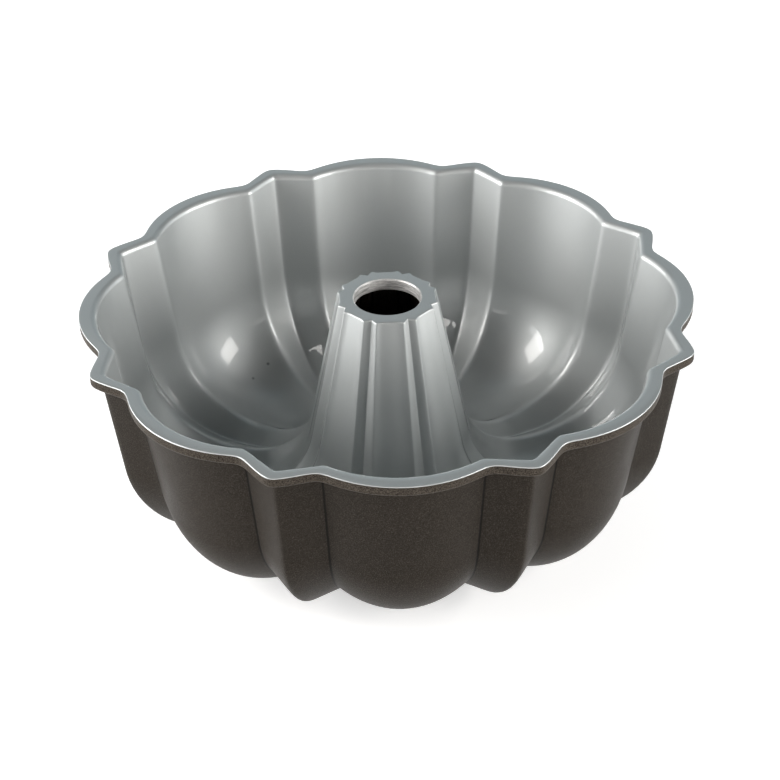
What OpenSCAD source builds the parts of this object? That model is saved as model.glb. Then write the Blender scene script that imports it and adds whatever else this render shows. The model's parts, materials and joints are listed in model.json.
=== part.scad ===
// Bundt pan: an aluminium casting with eight round lobes, eight pointed ridges between them
// and a fluted centre tube. A smooth release coating covers the inside, the rim's top and the
// tube's top. A textured coating covers the rim's edge, the outside and the hollow underneath.
//
// The pan stands upright on z = 0 with the tube's axis on Z. One lobe points along -Y.
//
// Three sections through the axis shape every face: one at a crease, where a lobe meets a
// ridge, one at a lobe's middle and one at a ridge's point. Each section is a line with
// rounded corners, and a face runs from one section to the next along the pan's plan curve.

/* [Rim] */
// Radius of the rim's edge at a lobe
rim_r = 133; // [131:0.5:136]
// Height of the rim's top face
rim_h = 97.5; // [92:0.5:104]
// Height of the rim's edge
edge_h = 5; // [4:0.5:7]
// Depth of the valleys in the rim's edge, beside the lobes
valley_depth = 7.5; // [6:0.5:8.5]
// How far the ridge points stand out beyond the lobes
point_rise = 1.2; // [0:0.2:2]

/* [Cavity] */
// Radius of the wall at a crease, level with the rim's top
wall_r = 119.6; // [117:0.2:120.6]
// Depth of a lobe behind the creases
lobe_depth = 6; // [5:0.5:7]
// Depth of a ridge behind the creases
ridge_depth = 8; // [7:0.5:9]
// Lean of the wall, in degrees
wall_lean = 8; // [6:0.5:9]
// Radius of the bend from the wall to the floor, at a crease
wall_bend = 44; // [38:1:45]
// Radius of the bend from the floor to the tube, at a crease
foot_bend = 30; // [20:1:31]
// Rounding of the rim's inner edge
lip_round = 3; // [2:0.5:3.5]

/* [Tube] */
// Height of the tube's top face above the rim
tube_rise = 1.3; // [0:0.1:5]
// Radius of the tube's top over the ribs
tube_r = 22.4; // [21.6:0.2:24]
// Lean of the tube, in degrees
tube_lean = 12; // [9:0.5:12.5]
// Depth of the wide flutes
flute_depth = 1.5; // [1:0.25:2]
// Depth of the pointed flutes
groove_depth = 2.2; // [1.6:0.1:2.4]
// Radius of the bore through the tube's top
bore_r = 14.5; // [13:0.5:15]
// Length of the bore
bore_length = 5.5; // [3:0.5:8]

/* [Walls] */
// Thickness of the wall with both coatings
wall_t = 2.5; // [2:0.1:3]
// Thickness of each coating
coat_t = 0.15; // [0.1:0.05:0.2]

/* [Hidden] */

lobes = 8;
pitch = 360 / lobes;
land_h = rim_h + tube_rise;
hollow_h = land_h - bore_length - 2 * coat_t;

// Half the angle of a lobe, on the cavity's side and on the outside
half_in = 14.45;
half_out = 14.9;

// The outside of a lobe would reach this far below z = 0, and is cut flat there to stand on
pad_cut = 0.25;
// Height of the ridges' underside above z = 0
ridge_gap = 0.4;
// How far the floor's creases lie above the lobes' floor
crease_rise = 6.5;
// How much less a ridge leans than a crease, in degrees
ridge_upright = 1.2;
// How much larger the bends are at a lobe and at a ridge than at a crease
lobe_bend_more = [1.5, 2];
ridge_bend_more = [5.5, 3];

// Roundings: the rim's lower edge, the corner under the rim, the tube's top edge, and the
// top of the hollow inside the tube
edge_round = 1.6;
under_round = 1.4;
land_round = 0.8;
hollow_round = 1;
// The coatings stop this far short of the bore
bare_ring = 0.6;
overcut = 1;

// Softness of the plan curve's [valleys, points], on the walls and along the rim's edge
wall_soft = [0.03, 0.06];
edge_soft = [0.12, 0.2];
// Power of the plan curve of a lobe on the wall, and of a flute on the tube
lobe_power = 2;
flute_power = 4;
// Bow of a ridge's flanks that makes them straight in plan
flank_bow = 0.19;
// Angles this close count as the same
angle_snap = 0.01;

// Facets: a lobe's columns as shares of its half angle, the columns on a ridge's flank, the
// steps round each bend and round the small roundings, and the bore's sides
lobe_columns = [-1, -0.75, -0.45, -0.15, 0, 0.15, 0.45, 0.75];
flank_columns = 2;
wall_steps = 6;
foot_steps = 4;
small_steps = 2;
bore_sides = 96;

// A section is [edge radius, wall radius level with the rim, wall lean, wall bend,
// floor height, foot bend, tube radius]
lobe_floor = wall_t - pad_cut;
CREASE = [rim_r - valley_depth, wall_r, wall_lean, wall_bend, lobe_floor + crease_rise,
          foot_bend, tube_r];
LOBE = [rim_r, wall_r + lobe_depth, wall_lean, wall_bend + lobe_bend_more[0],
        lobe_floor, foot_bend + lobe_bend_more[1], tube_r - flute_depth];
RIDGE = [rim_r + point_rise, wall_r + ridge_depth, wall_lean - ridge_upright,
         wall_bend + ridge_bend_more[0], wall_t + ridge_gap,
         foot_bend + ridge_bend_more[1], tube_r - groove_depth];

function unit(v) = v / norm(v);
function turned(v, a) = [v.x * cos(a) - v.y * sin(a), v.x * sin(a) + v.y * cos(a)];
function polar(p, a) = [p.x * cos(a - 90), p.x * sin(a - 90), p.y];

// The larger of a and b, with a soft corner that stands k above the two where they cross
function larger_soft(a, b, k) = max(a, b) + k * pow(max(1 - abs(a - b) / (6 * k), 0), 3);

// Where the line through p along a meets the level line at height z
function at_level(p, a, z) = p + a * (z - p.y) / a.y;

// Four corners [r, z, rounding] of the face that lies `deep` behind the cavity's face in
// section s: the wall at height `top`, the floor's two ends, and the tube at `tube_top`
function corners(s, deep, top, tube_top, rounding) =
    let (wall = [s[1] + deep / cos(s[2]), rim_h],
         wall_way = [sin(s[2]), cos(s[2])],
         tube = [s[6] - deep / cos(tube_lean), land_h],
         tube_way = [sin(tube_lean), -cos(tube_lean)],
         floor_z = s[4] - deep)
    [[each at_level(wall, wall_way, top), rounding[0]],
     [each at_level(wall, wall_way, floor_z), s[3] + deep],
     [each at_level(tube, tube_way, floor_z), s[5] + deep],
     [each at_level(tube, tube_way, tube_top), rounding[1]]];

// Points round corner c, from the side of b to the side of d
function bend(b, c, d, steps) =
    let (p = [c.x, c.y],
         u = unit([b.x, b.y] - p),
         v = unit([d.x, d.y] - p),
         half = acos(u * v) / 2,
         centre = p + unit(u + v) * c.z / sin(half),
         start = p + u * c.z / tan(half) - centre,
         turn = (180 - 2 * half) * sign(u.x * v.y - u.y * v.x))
    [for (i = [0:steps]) centre + turned(start, -turn * i / steps)];

// A line through rounded corners, without its two ends
function rounded(path, steps) =
    [for (i = [1:len(path) - 2]) each bend(path[i - 1], path[i], path[i + 1], steps[i - 1])];

// Angles of all columns, from a lobe's middle, for lobes of half angle `half`
function columns(half) =
    let (flank = (pitch / 2 - half) / flank_columns)
    [for (i = [0:lobes - 1])
        each [for (c = lobe_columns) c * half + i * pitch,
              for (k = [0:2 * flank_columns - 1]) half + k * flank + i * pitch]];

// Angle from the middle of the nearest lobe, from 0 to pitch / 2
function from_lobe(a) = abs((a + pitch / 2) % pitch - pitch / 2);

// Depth of the plan curve at angle b from a lobe's middle: 0 at a crease, and 1 at the
// middle of a lobe and at the point of a ridge
function plan_depth(b, half, soft, power) =
    let (x = (pitch / 2 - b) / (pitch / 2 - half),
         k = soft[1],
         y = (sqrt(x * x + k * k) - k) / (sqrt(1 + k * k) - k))
    larger_soft(1 - pow(b / half, power), 1 - y * (1 + flank_bow * (1 - y)), soft[0]);

// One ring of points: p holds the ring's point in each of the three sections, and no point
// lies lower than `lowest`
function ring(p, half, soft, power, lowest) =
    [for (a = columns(half))
        let (b = from_lobe(a + lobes * pitch),
             far = b > half + angle_snap ? p[2] : p[1],
             q = p[0] + plan_depth(b, half, soft, power) * (far - p[0]))
        polar([q.x, max(q.y, lowest)], a)];

// Rings from three lines of points, one in each section. The first `rim_rings` follow the
// rim's edge, and the last `flute_rings` follow the tube.
function rings(lines, half, rim_rings, lowest) =
    let (flute_rings = foot_steps + small_steps + 2, n = len(lines[0]))
    [for (i = [0:n - 1])
        let (along = min(1, max(0, (i - n + flute_rings + foot_steps / 2) / foot_steps)),
             power = lobe_power + (flute_power - lobe_power) * along)
        ring([for (line = lines) line[i]], i < rim_rings ? half_out : half,
             i < rim_rings ? edge_soft : wall_soft, i < rim_rings ? lobe_power : power,
             lowest)];

// Rings of the inner face that lies `deep` behind the cavity's face. It starts at the rim's
// edge, `inset` inside it, and ends on the tube's top at radius `end`.
function inner_rings(deep, inset, end) =
    let (top = rim_h - deep, land = land_h - deep,
         lines = [for (s = [CREASE, LOBE, RIDGE])
             let (first = [s[0] - inset, top],
                  turns = corners(s, deep, top, land, [lip_round - deep, land_round - deep]),
                  last = [end, land])
             [first, each rounded([first, each turns, last],
                                  [small_steps, wall_steps, foot_steps, small_steps]), last]])
    rings(lines, half_in, 1, 0);

// Rings of the outer face, or of the face that lies `inset` inside the outer face. It
// starts below the rim's edge and ends in the hollow of the tube at radius `end`.
function outer_rings(inset, end) =
    let (under = rim_h - edge_h + inset, top = hollow_h + inset,
         lines = [for (s = [CREASE, LOBE, RIDGE])
             let (edge = [s[0] - inset, under, edge_round - inset],
                  turns = corners(s, wall_t - inset, under, top,
                                  [under_round + inset, hollow_round + inset]),
                  last = [end, top])
             [each rounded([[edge.x, rim_h], edge, each turns, last],
                           [small_steps, small_steps, wall_steps, foot_steps, small_steps]),
              last]])
    rings(lines, half_out, small_steps + 1, inset);

// Ring at the top of the rim's edge, `inset` inside it
function edge_ring(inset) =
    ring([for (s = [CREASE, LOBE, RIDGE]) [s[0] - inset, rim_h]], half_out, edge_soft,
         lobe_power, 0);

// Triangles between rings a and b of m points each
function strip(a, b, m) =
    [for (j = [0:m - 1])
        let (k = (j + 1) % m)
        each [[a * m + j, b * m + k, a * m + k], [a * m + j, b * m + j, b * m + k]]];

function flipped(triangles) = [for (t = triangles) [t[2], t[1], t[0]]];

// A solid between an upper and a lower face, each a list of rings from the rim to the tube.
// Both faces are split into triangles the same way, so thin skins nest without crossing.
module closed_loft(upper, lower) {
    m = len(upper[0]);
    turn = len(upper);
    last = turn + len(lower) - 1;
    polyhedron(
        points = [for (r = [each upper, each lower]) each r],
        faces = [for (i = [0:turn - 2]) each strip(i, i + 1, m),
                 each strip(turn - 1, last, m),
                 for (i = [turn:last - 1]) each flipped(strip(i, i + 1, m)),
                 each strip(turn, 0, m)]);
}

// The aluminium casting, with its machined bore
module pan_casting() {
    color("silver")
    difference() {
        closed_loft(inner_rings(coat_t, coat_t, bore_r - overcut),
                    outer_rings(coat_t, bore_r - overcut));
        translate([0, 0, hollow_h - overcut])
            cylinder(h = land_h - hollow_h + 2 * overcut, r = bore_r, $fn = bore_sides);
    }
}

// The grey release coating of the cavity, the rim's top and the tube
module interior_coating() {
    end = bore_r + bare_ring;
    color([0.62, 0.64, 0.64])
        closed_loft(inner_rings(0, coat_t, end), inner_rings(coat_t, coat_t, end));
}

// The dark textured coating of the rim's edge, the outside and the tube's hollow
module exterior_coating() {
    end = bore_r + bare_ring;
    color([0.22, 0.2, 0.18])
        closed_loft([edge_ring(coat_t), each outer_rings(coat_t, end)],
                    [edge_ring(0), each outer_rings(0, end)]);
}

pan_casting();
interior_coating();
exterior_coating();
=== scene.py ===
import json
import math
from collections import namedtuple

import bpy
import numpy as np
from mathutils import Matrix, Vector


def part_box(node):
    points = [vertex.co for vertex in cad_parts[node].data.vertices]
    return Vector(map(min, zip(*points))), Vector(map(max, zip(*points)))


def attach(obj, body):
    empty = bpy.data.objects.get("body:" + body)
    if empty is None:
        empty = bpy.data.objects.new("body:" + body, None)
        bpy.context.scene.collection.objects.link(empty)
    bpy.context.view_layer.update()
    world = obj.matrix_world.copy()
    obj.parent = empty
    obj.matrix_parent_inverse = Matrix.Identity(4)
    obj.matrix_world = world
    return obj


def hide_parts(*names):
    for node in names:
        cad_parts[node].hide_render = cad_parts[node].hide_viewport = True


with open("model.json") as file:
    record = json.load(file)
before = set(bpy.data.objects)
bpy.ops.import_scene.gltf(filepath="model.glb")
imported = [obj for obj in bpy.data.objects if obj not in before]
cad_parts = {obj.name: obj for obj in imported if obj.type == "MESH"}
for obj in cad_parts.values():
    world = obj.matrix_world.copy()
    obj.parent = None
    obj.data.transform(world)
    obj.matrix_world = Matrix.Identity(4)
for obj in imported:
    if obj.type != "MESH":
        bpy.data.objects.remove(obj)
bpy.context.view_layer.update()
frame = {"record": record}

# A fluted cake pan: an aluminium casting, a smooth grey release coating on the inside and a
# dark textured coating on the outside. The three pieces are thin closed shells that meet
# face to face. Their faces come from three sections through the pan's axis, at a crease, at
# a lobe's middle and at a ridge's point. Lengths are in millimetres until the mesh is made.

MM = 0.001

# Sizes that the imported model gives
record = frame["record"]
mounts = {m["name"]: m for m in record["mounts"]}
RIM_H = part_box("exterior_coating")[1][2] / MM
LAND_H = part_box("interior_coating")[1][2] / MM
RIM_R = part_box("exterior_coating")[1][0] / MM
BORE_R = mounts["tube_bore"]["dims"]["r_mm"]
BORE_LENGTH = mounts["tube_bore"]["dims"]["length_mm"]

# Plan: half the angle of a lobe in degrees, on the cavity's side and on the outside
LOBES = 8
PITCH = 360 / LOBES
HALF_IN = 14.45
HALF_OUT = 14.9

# Walls
WALL_T = 2.5
COAT_T = 0.15
EDGE_H = 5.0
PAD_CUT = 0.25
HOLLOW_H = LAND_H - BORE_LENGTH - 2 * COAT_T

# Lean of the tube in degrees, and how far the tube's coatings stop short of the bore
TUBE_LEAN = 12.0
BARE_RING = 0.6

# Roundings
LIP_ROUND = 3.0
EDGE_TOP_ROUND = 0.35
EDGE_ROUND = 1.6
UNDER_ROUND = 1.4
LAND_ROUND = 0.8
HOLLOW_ROUND = 1.0
BORE_CHAMFER = 0.5

# The release coating runs over the rim's top edge and ends this far down the edge
WRAP = 0.45
WRAP_WANDER = 0.03

# Softness of the plan curve on the cavity and on the outside: of its creases on the wall, of
# its creases on the floor and the tube, and of the ridges' points
CAVITY_SOFT = (0.05, 0.13, 0.06)
OUTSIDE_SOFT = (0.015, 0.03, 0.09)
# The same on the rim's edge: of its creases, and of the ridges' points
EDGE_SOFT = (0.12, 0.2)
LOBE_POWER = 2.0
FLUTE_POWER = 4.0
FLANK_BOW = 0.19

# Half the width of the painted shade along each valley of the outside: a dark line painted
# into the coating's colour where shade falls in the crease
VALLEY_SHADE_HALF_WIDTH = 0.7

# Degrees on each side of a crease over which the ridge's section takes over from the lobe's
SHARE_REACH = 4.0

# Mesh: columns over a lobe and over one flank of a ridge, and steps round each bend
LOBE_COLUMNS = 32
FLANK_COLUMNS = 14
WALL_STEPS = 36
FOOT_STEPS = 26
SMALL_STEPS = 8

Section = namedtuple("Section", "edge wall lean bend floor foot tube")
Corner = namedtuple("Corner", "r z rounding steps")
CREASE = Section(RIM_R - 7.5, 119.6, 8.0, 44.0, WALL_T - PAD_CUT + 6.5, 30.0, 22.4)
LOBE = Section(RIM_R, 125.6, 8.0, 45.5, WALL_T - PAD_CUT, 32.0, 20.9)
RIDGE = Section(RIM_R + 1.2, 127.6, 6.8, 49.5, WALL_T + 0.4, 33.0, 20.2)
SECTIONS = (CREASE, LOBE, RIDGE)


# ---------------------------------------------------------------- sections

def at_level(point, way, z):
    """Where the line through point along way meets height z."""
    return point[0] + way[0] * (z - point[1]) / way[1]


def body_corners(section, deep, top, tube_top, roundings):
    """Corners of the face that lies deep behind the cavity's face: the wall at height top,
    the floor's two ends, and the tube at height tube_top."""
    lean, tube_lean = math.radians(section.lean), math.radians(TUBE_LEAN)
    wall = (section.wall + deep / math.cos(lean), RIM_H)
    wall_way = (math.sin(lean), math.cos(lean))
    tube = (section.tube - deep / math.cos(tube_lean), LAND_H)
    tube_way = (math.sin(tube_lean), -math.cos(tube_lean))
    floor = section.floor - deep
    return [
        Corner(at_level(wall, wall_way, top), top, roundings[0], SMALL_STEPS),
        Corner(at_level(wall, wall_way, floor), floor, section.bend + deep, WALL_STEPS),
        Corner(at_level(tube, tube_way, floor), floor, section.foot + deep, FOOT_STEPS),
        Corner(at_level(tube, tube_way, tube_top), tube_top, roundings[1], SMALL_STEPS),
    ]


def bend(before, corner, after):
    """Points round a corner."""
    p = np.array(corner[:2])
    u = np.array(before[:2]) - p
    v = np.array(after[:2]) - p
    u /= np.linalg.norm(u)
    v /= np.linalg.norm(v)
    half = math.acos(float(np.clip(u @ v, -1, 1))) / 2
    middle = (u + v) / np.linalg.norm(u + v)
    centre = p + middle * corner.rounding / math.sin(half)
    start = p + u * corner.rounding / math.tan(half) - centre
    turn = -(math.pi - 2 * half) * np.sign(u[0] * v[1] - u[1] * v[0])
    angles = turn * np.linspace(0, 1, corner.steps + 1)
    cos, sin = np.cos(angles), np.sin(angles)
    arc = np.stack([start[0] * cos - start[1] * sin, start[0] * sin + start[1] * cos], -1)
    return centre + arc


def rounded(path):
    """A line through rounded corners, with its two plain ends."""
    inner = [bend(path[i - 1], path[i], path[i + 1]) for i in range(1, len(path) - 1)]
    return np.concatenate([[path[0][:2]], *inner, [path[-1][:2]]])


# ---------------------------------------------------------------- plan

def eased(count):
    """Steps from 0 towards 1, closer together near both ends."""
    return (1 - np.cos(math.pi * np.arange(count) / count)) / 2


def columns(half):
    """Angles of all columns, from a lobe's middle."""
    flank = PITCH / 2 - half
    sector = np.concatenate([
        -half + 2 * half * eased(LOBE_COLUMNS),
        half + flank * eased(FLANK_COLUMNS),
        PITCH / 2 + flank * eased(FLANK_COLUMNS),
    ])
    return np.concatenate([sector + i * PITCH for i in range(LOBES)])


def plan_depth(angles, half, valley, point, power):
    """0 at a crease, 1 at a lobe's middle and at a ridge's point, and the share of the
    ridge's section in what lies beyond the crease."""
    away = np.abs((angles + PITCH / 2) % PITCH - PITCH / 2)
    x = (PITCH / 2 - away) / (PITCH / 2 - half)
    y = (np.sqrt(x * x + point ** 2) - point) / (math.sqrt(1 + point ** 2) - point)
    lobe = 1 - (away / half) ** power
    ridge = 1 - y * (1 + FLANK_BOW * (1 - y))
    depth = np.maximum(lobe, ridge)
    depth += valley * np.maximum(1 - np.abs(lobe - ridge) / (6 * valley), 0) ** 3
    share = np.clip((away - half) / (2 * SHARE_REACH) + 0.5, 0, 1)
    return depth, share * share * (3 - 2 * share)


def ring(points, half, valley, point, power):
    """Points (x, y, z) round the pan, from one point (r, z) in each section."""
    angles = columns(half)
    depth, share = plan_depth(angles, half, valley, point, power)
    crease, lobe, ridge = points
    far = lobe + share[:, None] * (ridge - lobe)
    rz = crease + depth[:, None] * (far - crease)
    turn = np.radians(angles - 90)
    return np.stack([rz[:, 0] * np.cos(turn), rz[:, 0] * np.sin(turn), rz[:, 1]], -1)


def rings(lines, half, soft, edge_rings, lowest):
    """Rings from one line of points in each section. The first edge_rings follow the rim's
    edge. The creases get softer round the bend at the wall's foot, and the plan turns from
    lobes to flutes round the bend at the tube's foot."""
    count = len(lines[0])
    foot_end = count - SMALL_STEPS - 2
    wall_end = foot_end - FOOT_STEPS - 1
    made = []
    for i in range(count):
        on_floor = min(1, max(0, (i - wall_end + WALL_STEPS) / WALL_STEPS))
        on_tube = min(1, max(0, (i - foot_end + FOOT_STEPS) / FOOT_STEPS))
        valley = soft[0] + (soft[1] - soft[0]) * on_floor
        power = LOBE_POWER + (FLUTE_POWER - LOBE_POWER) * on_tube
        points = [line[i] for line in lines]
        if i < edge_rings:
            made.append(ring(points, HALF_OUT, *EDGE_SOFT, LOBE_POWER))
        else:
            made.append(ring(points, half, valley, soft[2], power))
    made = np.array(made)
    made[..., 2] = np.maximum(made[..., 2], lowest)
    return made


# ---------------------------------------------------------------- faces

def inner_face(deep, end):
    """Rings of the face that lies deep behind the cavity's face, from the rim's edge to
    radius end on the tube's top."""
    top, land = RIM_H - deep, LAND_H - deep
    lines = []
    for s in SECTIONS:
        edge = s.edge - deep
        lines.append(rounded([
            (edge, RIM_H - WRAP),
            Corner(edge, top, EDGE_TOP_ROUND - deep, SMALL_STEPS),
            *body_corners(s, deep, top, land, (LIP_ROUND - deep, LAND_ROUND - deep)),
            (end, land),
        ]))
    return rings(lines, HALF_IN, CAVITY_SOFT, SMALL_STEPS + 2, 0)


def outer_face(inset, end):
    """Rings of the face that lies inset behind the outside, from under the release
    coating's end on the rim's edge to radius end in the tube's hollow."""
    under, top = RIM_H - EDGE_H + inset, HOLLOW_H + inset
    lines = []
    for s in SECTIONS:
        edge = s.edge - inset
        turns = body_corners(s, WALL_T - inset, under, top,
                             (UNDER_ROUND + inset, HOLLOW_ROUND + inset))
        lines.append(rounded([
            (edge, RIM_H - WRAP),
            Corner(edge, under, EDGE_ROUND - inset, SMALL_STEPS),
            *turns,
            (end, top),
        ]))
    return rings(lines, HALF_OUT, OUTSIDE_SOFT, SMALL_STEPS + 2, inset)


def circle(radius, z, half):
    """A ring of the same columns at one radius and height."""
    turn = np.radians(columns(half) - 90)
    return np.stack([radius * np.cos(turn), radius * np.sin(turn), np.full_like(turn, z)], -1)


def wander(face, ends):
    """Lets the border between the two coatings wander a little up and down the rim's edge."""
    turn = np.radians(columns(HALF_OUT))
    shift = sum(np.sin(k * turn + 1.7 * k) / n for n, k in enumerate((5, 13, 29, 61, 97), 1))
    for i in ends:
        face[i, :, 2] += WRAP_WANDER * shift
    return face


# ---------------------------------------------------------------- meshes

def valley_shade_share(around):
    """Share of painted shade along the outside's valleys: 1 at the creases beside the lobes
    and 0 from the painted shade's half width in millimetres away from them, for columns of the
    outside."""
    away = np.abs((columns(HALF_OUT) + PITCH / 2) % PITCH - PITCH / 2)
    along = np.radians(np.abs(away - HALF_OUT)) * around
    return np.clip(1 - along / VALLEY_SHADE_HALF_WIDTH, 0, 1)


def shell(name, loop, material, node, sharp=50):
    """A closed mesh through the rings in turn, back to the first. It is smooth but for edges
    of more than sharp degrees."""
    count, around = loop.shape[:2]
    i, j = np.meshgrid(np.arange(count), np.arange(around), indexing="ij")
    i2, j2 = (i + 1) % count, (j + 1) % around
    quads = np.stack([i * around + j, i2 * around + j, i2 * around + j2, i * around + j2], -1)
    mesh = bpy.data.meshes.new(name)
    mesh.from_pydata((loop.reshape(-1, 3) * MM).tolist(), [], quads.reshape(-1, 4).tolist())
    mesh.update()
    mesh.polygons.foreach_set("use_smooth", [True] * len(mesh.polygons))
    mesh.materials.append(material)
    # The valley attribute marks where the outside's colour gets painted shade along its
    # valleys
    valley = mesh.attributes.new("valley", "FLOAT", "POINT")
    radii = np.linalg.norm(loop[..., :2], axis=-1)
    valley.data.foreach_set("value", valley_shade_share(radii).ravel().astype(np.float32))
    piece = bpy.data.objects.new(name, mesh)
    bpy.context.collection.objects.link(piece)
    mesh.set_sharp_from_angle(angle=math.radians(sharp))
    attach(piece, "root")
    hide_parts(node)
    return piece


# ---------------------------------------------------------------- materials

class Surface:
    """A Principled material and short ways to add nodes to it."""

    def __init__(self, name, **settings):
        self.material = bpy.data.materials.new(name)
        self.material.use_nodes = True
        self.nodes = self.material.node_tree.nodes
        self.links = self.material.node_tree.links
        self.shader = self.nodes["Principled BSDF"]
        self.place = self.nodes.new("ShaderNodeTexCoord").outputs["Object"]
        for socket, value in settings.items():
            self.shader.inputs[socket.replace("_", " ")].default_value = value

    def feed(self, node, socket, value):
        """Links or sets one socket of a node."""
        if isinstance(value, bpy.types.NodeSocket):
            self.links.new(value, node.inputs[socket])
        else:
            node.inputs[socket].default_value = value

    def drive(self, socket, value):
        """Links a socket of the shader."""
        self.feed(self.shader, socket, value)

    def stretched(self, scale):
        """Object coordinates, in metres, scaled along X, Y and Z."""
        node = self.nodes.new("ShaderNodeVectorMath")
        node.operation = "MULTIPLY"
        self.feed(node, 0, self.place)
        self.feed(node, 1, scale)
        return node.outputs[0]

    def noise(self, size, detail=3.0, roughness=0.5, stretch=(1, 1, 1)):
        """Noise of about 0 to 1 whose blobs are size millimetres wide."""
        node = self.nodes.new("ShaderNodeTexNoise")
        self.feed(node, "Vector", self.stretched(stretch))
        self.feed(node, "Scale", 1 / (size * MM))
        self.feed(node, "Detail", detail)
        self.feed(node, "Roughness", roughness)
        return node.outputs["Fac"]

    def away(self, point=(0, 0, 0)):
        """Distance in metres from a point that is given in millimetres."""
        node = self.nodes.new("ShaderNodeVectorMath")
        node.operation = "DISTANCE"
        self.feed(node, 0, self.place)
        self.feed(node, 1, [x * MM for x in point])
        return node.outputs["Value"]

    def ranged(self, value, low, high, to_low, to_high):
        """value from low..high to to_low..to_high, held at both ends."""
        node = self.nodes.new("ShaderNodeMapRange")
        for i, x in enumerate((value, low, high, to_low, to_high)):
            self.feed(node, i, x)
        return node.outputs[0]

    def math(self, operation, a, b=0.0):
        node = self.nodes.new("ShaderNodeMath")
        node.operation = operation
        self.feed(node, 0, a)
        self.feed(node, 1, b)
        return node.outputs[0]

    def attribute(self, name):
        """A number that the mesh holds at each point."""
        node = self.nodes.new("ShaderNodeAttribute")
        node.attribute_name = name
        return node.outputs["Fac"]

    def height(self):
        """Height above the ground in metres."""
        node = self.nodes.new("ShaderNodeSeparateXYZ")
        self.feed(node, 0, self.place)
        return node.outputs["Z"]

    def blended(self, share, first, second):
        """Colour between first and second."""
        node = self.nodes.new("ShaderNodeMix")
        node.data_type = "RGBA"
        self.feed(node, "Factor", share)
        self.feed(node, 6, (*first, 1) if isinstance(first, tuple) else first)
        self.feed(node, 7, (*second, 1) if isinstance(second, tuple) else second)
        return node.outputs[2]

    def bumped(self, heights):
        """Normal from a list of (height, depth in millimetres)."""
        normal = None
        for height, depth in heights:
            node = self.nodes.new("ShaderNodeBump")
            self.feed(node, "Height", height)
            self.feed(node, "Distance", depth * MM)
            if normal:
                self.feed(node, "Normal", normal)
            normal = node.outputs[0]
        self.drive("Normal", normal)


def bare_aluminium():
    """Machined metal of the bore: turning marks round the axis."""
    s = Surface("bare_aluminium", Metallic=0.5)
    marks = s.noise(0.9, detail=4, roughness=0.75, stretch=(0.12, 0.12, 1))
    broad = s.noise(4, detail=2)
    streaks = s.ranged(marks, 0.35, 0.65, 0, 1)
    s.drive("Base Color", s.blended(streaks, (0.36, 0.355, 0.35), (0.95, 0.94, 0.92)))
    s.drive("Roughness", s.ranged(broad, 0.3, 0.7, 0.36, 0.5))
    s.bumped([(marks, 0.2)])
    return s.material


# Two tiny flaws in the release coating, near the foot of the lobe at the back left
FLAWS = ((-56, 79, 13.7), (-63.4, 72.4, 10))
FLAW_R = 0.42


def release_coating():
    """Semi-gloss metallic grey coating: fine flakes under a thin clear film, with a slight
    spray texture."""
    s = Surface("release_coating", Metallic=0.85, Coat_Weight=1.0, Coat_Roughness=0.02)
    peel = s.noise(0.9, detail=3)
    flakes = s.noise(0.16, detail=2)
    cloud = s.noise(30, detail=3)
    colour = s.blended(flakes, (0.47, 0.49, 0.49), (0.59, 0.61, 0.61))
    for place in FLAWS:
        flaw = s.ranged(s.away(place), FLAW_R * MM, 2.5 * FLAW_R * MM, 0.6, 0)
        colour = s.blended(flaw, colour, (0.05, 0.05, 0.05))
    s.drive("Base Color", colour)
    s.drive("Roughness", s.ranged(cloud, 0.3, 0.7, 0.54, 0.6))
    s.bumped([(peel, 0.005), (flakes, 0.0015)])
    return s.material


def textured_coating():
    """Dark bronze-grey coating with a fine grain. It is coarser and lighter on the rim's edge,
    and carries painted shade: a near-black line along the valleys."""
    s = Surface("textured_coating", Metallic=0.0, Specular_IOR_Level=0.06)
    s.shader.inputs["Specular Tint"].default_value = (1, 0.9, 0.8, 1)
    grain = s.noise(0.6, detail=3, roughness=0.6)
    fine = s.noise(0.35, detail=2)
    cloud = s.noise(24, detail=3)
    height = s.height()
    on_edge = s.ranged(height, (RIM_H - EDGE_H - 0.5) * MM, (RIM_H - EDGE_H + 0.5) * MM, 0, 1)
    dark = s.blended(cloud, (0.012, 0.0096, 0.0072), (0.018, 0.0143, 0.011))
    body = s.blended(s.ranged(fine, 0.48, 0.68, 0, 0.65), dark, (0.07, 0.06, 0.05))
    edge = s.blended(s.ranged(fine, 0.4, 0.65, 0, 0.8), (0.016, 0.0125, 0.0095),
                     (0.12, 0.102, 0.084))
    coat = s.blended(on_edge, body, edge)
    # Painted shade: below the rim's edge, the colour goes near black along each valley, as
    # shade in the crease
    below = s.math("SUBTRACT", 1.0, on_edge)
    line = s.math("MULTIPLY", below, s.ranged(s.attribute("valley"), 0.1, 0.6, 0, 0.95))
    s.drive("Base Color", s.blended(line, coat, (0.003, 0.0025, 0.002)))
    s.drive("Roughness", s.ranged(cloud, 0.3, 0.7, 0.36, 0.44))
    s.bumped([(grain, 0.10), (s.math("MULTIPLY", fine, on_edge), 0.12)])
    return s.material


# ---------------------------------------------------------------- pieces

BARE_END = BORE_R + BARE_RING


def joined(upper, lower):
    """One loop of rings out along the lower face, and back along the upper face."""
    return np.concatenate([upper, lower[::-1]])


def casting_loop():
    """The casting's rings: the face under the release coating, the bore with its two
    chamfers, and the face behind the textured coating."""
    top, bottom = LAND_H - COAT_T, HOLLOW_H + COAT_T
    wide = BORE_R + BORE_CHAMFER
    bore = np.array([
        circle(BORE_R, top - BORE_CHAMFER, HALF_IN),
        circle(BORE_R, bottom + BORE_CHAMFER, HALF_OUT),
    ])
    upper = wander(inner_face(COAT_T, wide), (0,))
    return joined(np.concatenate([upper, bore]), outer_face(COAT_T, wide)[1:])


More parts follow.
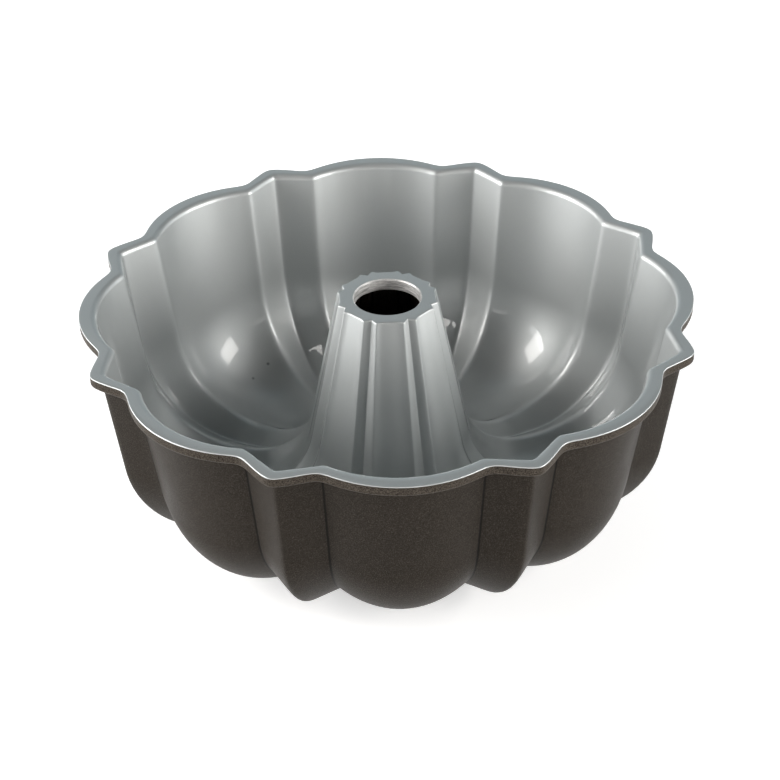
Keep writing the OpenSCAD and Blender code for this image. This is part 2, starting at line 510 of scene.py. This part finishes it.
def coating_loop(face):
    """A coating's rings: its free face, and its back face on the casting."""
    free, back = wander(face(0, BARE_END), (0,)), wander(face(COAT_T, BARE_END), (0,))
    return joined(free, back) if face is inner_face else joined(back, free)


shell("casting", casting_loop(), bare_aluminium(), "pan_casting", 35)
shell("release_coat", coating_loop(inner_face), release_coating(),
      "interior_coating")
shell("textured_coat", coating_loop(outer_face), textured_coating(),
      "exterior_coating")

# ---------------------------------------------------------------- studio

FLOOR_HALF = 6.0
FLOOR_GLOW = 0.56
# Distances from the middle, in millimetres, at which the floor's glow starts and is full
GLOW_STARTS = 45
GLOW_FULL = 80


def studio_floor():
    """White paper, lit through from below as well, but not under the pan."""
    s = Surface("floor_paper", Roughness=0.9)
    s.shader.inputs["Emission Color"].default_value = (1, 1, 1, 1)
    s.drive("Emission Strength",
            s.ranged(s.away(), GLOW_STARTS * MM, GLOW_FULL * MM, 0, FLOOR_GLOW))
    s.drive("Base Color", s.blended(s.noise(400), (0.86, 0.86, 0.86), (0.88, 0.88, 0.88)))
    mesh = bpy.data.meshes.new("floor")
    h = FLOOR_HALF
    mesh.from_pydata([(-h, -h, 0), (h, -h, 0), (h, h, 0), (-h, h, 0)], [], [(0, 1, 2, 3)])
    mesh.materials.append(s.material)
    floor = bpy.data.objects.new("floor", mesh)
    bpy.context.collection.objects.link(floor)


def softbox(name, azimuth, elevation, distance, width, height, radiance, tint=(1, 1, 1)):
    """A lit panel that faces the pan. Azimuth is in degrees from +Y towards +X."""
    a, e = math.radians(azimuth), math.radians(elevation)
    way = Vector((math.sin(a) * math.cos(e), math.cos(a) * math.cos(e), math.sin(e)))
    light = bpy.data.lights.new(name, "AREA")
    light.shape = "RECTANGLE"
    light.size = width
    light.size_y = height
    light.energy = radiance * math.pi * width * height
    light.color = tint
    panel = bpy.data.objects.new(name, light)
    bpy.context.collection.objects.link(panel)
    panel.location = way * distance
    panel.rotation_euler = way.to_track_quat("Z", "Y").to_euler()


def surroundings(low, high):
    """A grey room, darker towards the top."""
    world = bpy.data.worlds.new("room")
    world.use_nodes = True
    nodes, links = world.node_tree.nodes, world.node_tree.links
    place = nodes.new("ShaderNodeTexCoord")
    split = nodes.new("ShaderNodeSeparateXYZ")
    fade = nodes.new("ShaderNodeMapRange")
    fade.inputs["From Min"].default_value = 0.1
    fade.inputs["From Max"].default_value = 0.9
    fade.inputs["To Min"].default_value = low
    fade.inputs["To Max"].default_value = high
    links.new(place.outputs["Generated"], split.inputs[0])
    links.new(split.outputs["Z"], fade.inputs["Value"])
    links.new(fade.outputs[0], nodes["Background"].inputs["Strength"])
    bpy.context.scene.world = world


WARM = (1, 0.97, 0.94)
COOL = (0.85, 1, 1.06)

studio_floor()
softbox("softbox_left", -93.2, 29.3, 1.4, 0.66, 1.05, 6.8, WARM)
softbox("softbox_right", 110, 22.5, 1.4, 0.95, 0.85, 7.3, WARM)
softbox("wall_left", -88, 14, 1.6, 2.2, 1.0, 3.6)
softbox("wall_right", 88, 16, 1.6, 2.2, 1.0, 0.6, COOL)
softbox("panel_front", 180, 12, 1.6, 1.2, 0.6, 1.9, WARM)
softbox("panel_back", 0, 18, 1.6, 2.4, 1.3, 0.48, COOL)
softbox("panel_back_high", 0, 62, 1.6, 1.6, 0.9, 0.28, COOL)
surroundings(0.04, 0.01)

# ---------------------------------------------------------------- camera

# Elevation, turn round the pan and roll, in degrees, and the lens as a share of its sensor
VIEW_ELEVATION = 34.684
VIEW_TURN = 2.709
VIEW_ROLL = 0.803
VIEW_DISTANCE = 800.75
VIEW_TARGET = (0.574, 0, RIM_H - 47.913)
LENS_TO_SENSOR = 2.2882
SENSOR = 36


def view_matrix():
    """The camera's place: it looks at the target along +Y and down, then turns round Z."""
    e, roll = math.radians(VIEW_ELEVATION), math.radians(VIEW_ROLL)
    forward = Vector((0, math.cos(e), -math.sin(e)))
    right, up = Vector((1, 0, 0)), Vector((0, math.sin(e), math.cos(e)))
    side = right * math.cos(roll) - up * math.sin(roll)
    over = right * math.sin(roll) + up * math.cos(roll)
    matrix = Matrix((side, over, -forward)).transposed().to_4x4()
    matrix.translation = (Vector(VIEW_TARGET) - VIEW_DISTANCE * forward) * MM
    return Matrix.Rotation(-math.radians(VIEW_TURN), 4, "Z") @ matrix


camera = bpy.data.cameras.new("camera")
camera.sensor_width = SENSOR
camera.lens = SENSOR * LENS_TO_SENSOR
viewer = bpy.data.objects.new("camera", camera)
bpy.context.collection.objects.link(viewer)
viewer.matrix_world = view_matrix()
bpy.context.scene.camera = viewer
bpy.context.scene.view_settings.view_transform = "Standard"
